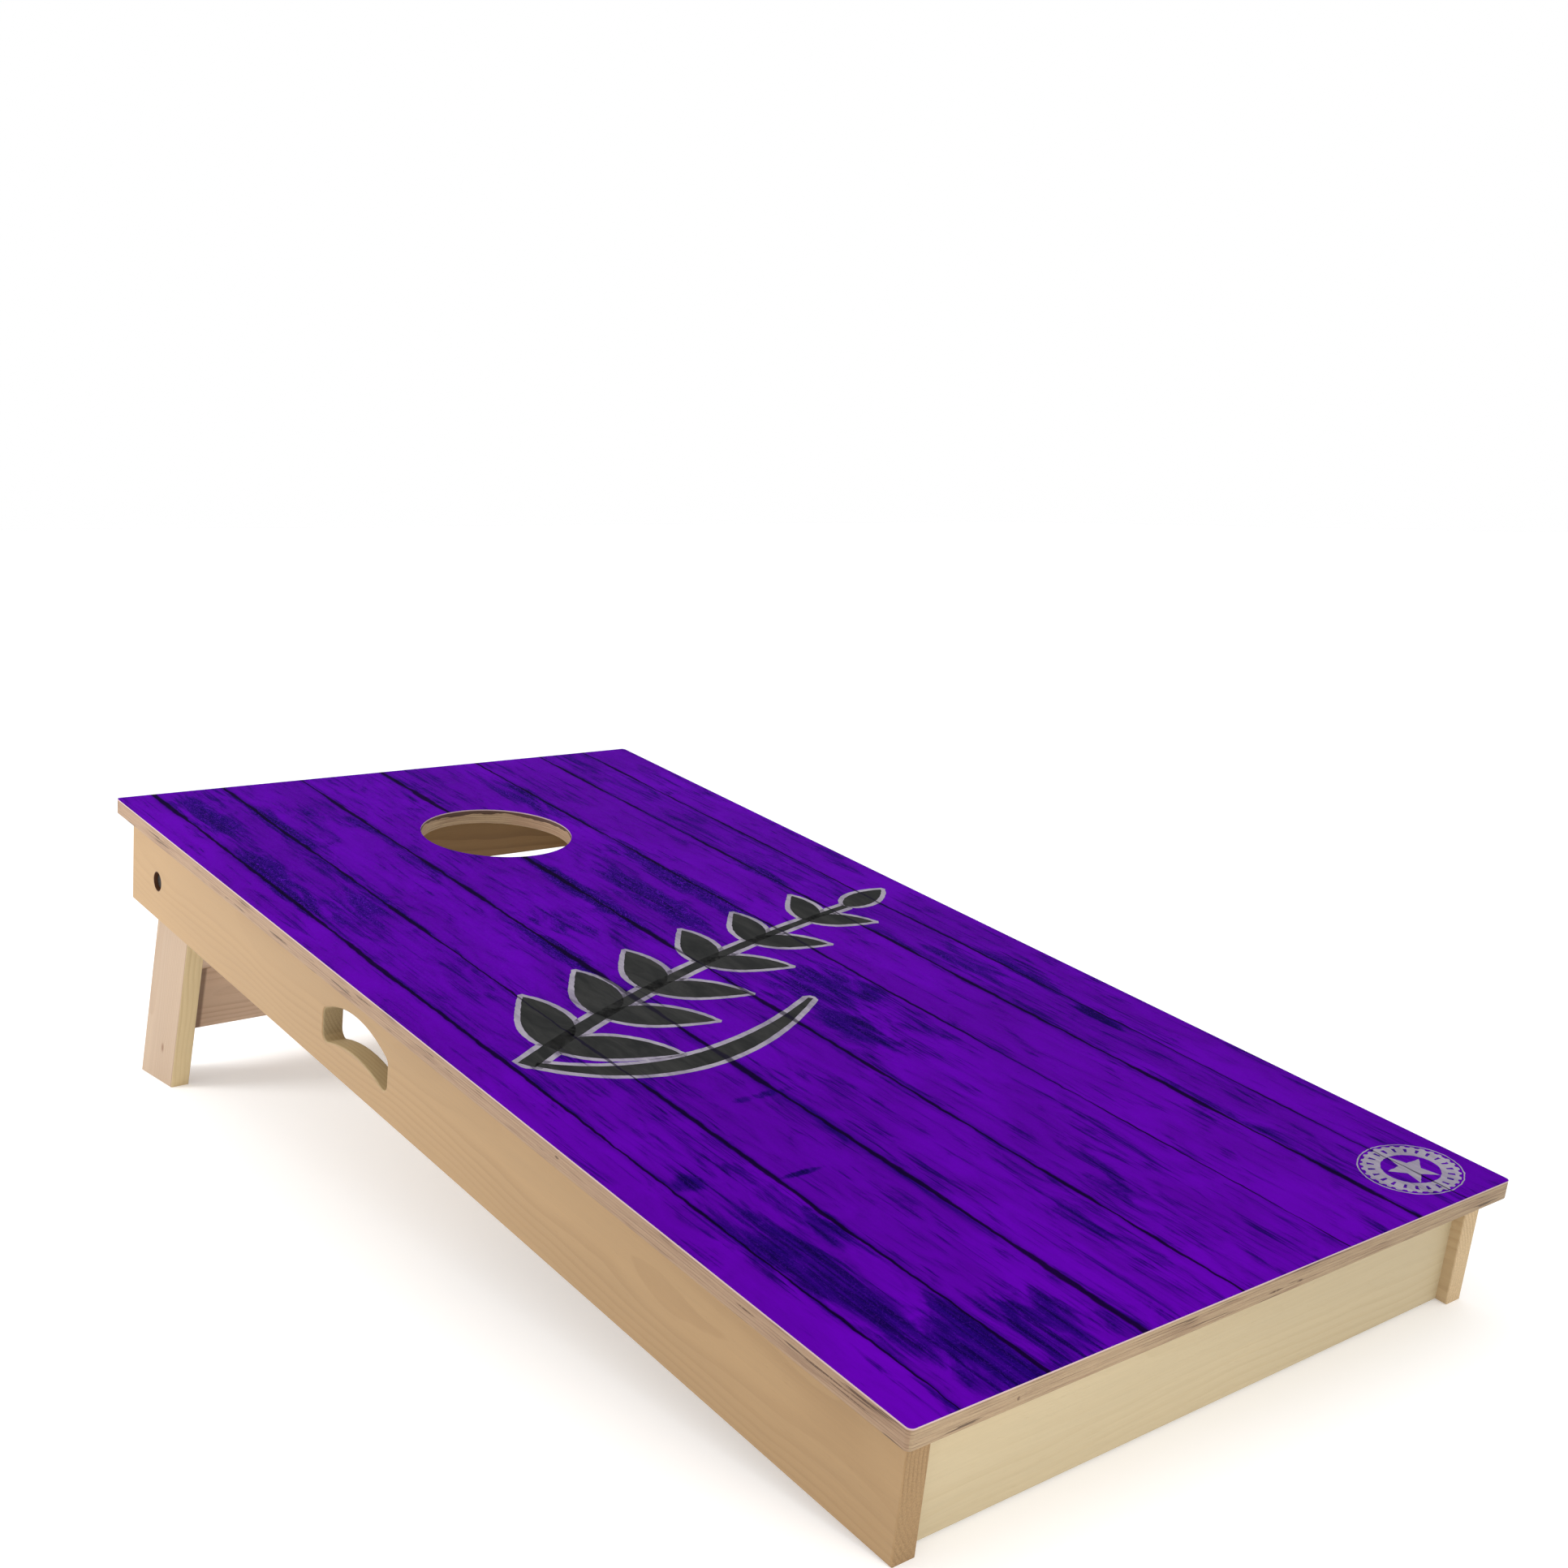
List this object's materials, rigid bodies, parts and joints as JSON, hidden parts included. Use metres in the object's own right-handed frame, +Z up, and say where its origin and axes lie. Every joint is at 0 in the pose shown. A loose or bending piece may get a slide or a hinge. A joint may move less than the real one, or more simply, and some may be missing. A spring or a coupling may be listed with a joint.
{
  "type": "cornhole board",
  "caption": "Tilted bag-toss board: printed plywood deck with a round hole, lumber frame with hand slots, and a braced pair of fold-away legs.",
  "frame": {"origin": "on the ground, under the middle of the open board's overall width and length", "axes": "+Z up, +Y from the low front end to the raised hole end, +X from the left side to the right as seen from the front"},
  "size_m": [0.6096, 1.2658, 0.3051],
  "materials": {
    "plywood": "sanded and clear coated, plies showing at the edge",
    "printed_film": "satin purple print of worn planks",
    "frame_lumber": "planed pine, clear coated",
    "leg_lumber": "planed pine, clear coated",
    "pivot_steel": "black oxide",
    "nylon_insert": "natural nylon",
    "screw_steel": "yellow zinc"
  },
  "bodies": {
    "frame": {"deck_panel": "plywood", "printed_film": "printed_film", "left_side_rail": "frame_lumber", "right_side_rail": "frame_lumber", "front_apron": "frame_lumber", "back_apron": "frame_lumber", "center_cross_brace": "frame_lumber", "left_pivot_bolt": "pivot_steel", "left_head_washer": "pivot_steel", "left_spacer_washer": "pivot_steel", "left_nut_washer": "pivot_steel", "left_lock_nut": "pivot_steel", "left_nut_insert": "nylon_insert", "right_pivot_bolt": "pivot_steel", "right_head_washer": "pivot_steel", "right_spacer_washer": "pivot_steel", "right_nut_washer": "pivot_steel", "right_lock_nut": "pivot_steel", "right_nut_insert": "nylon_insert", "deck_screws": "screw_steel", "front_apron_screws": "screw_steel", "back_apron_screws": "screw_steel", "cross_brace_screws": "screw_steel"},
    "leg_assembly": {"left_leg": "leg_lumber", "right_leg": "leg_lumber", "leg_brace": "leg_lumber", "leg_brace_screws": "screw_steel"}
  },
  "joints": [
    {"name": "leg_fold", "type": "hinge", "parent": "frame", "child": "leg_assembly", "pos_m": [0, 0.50157, 0.22819], "axis": [-1, 0, 0], "range_deg": [0, 101.9]}
  ]
}
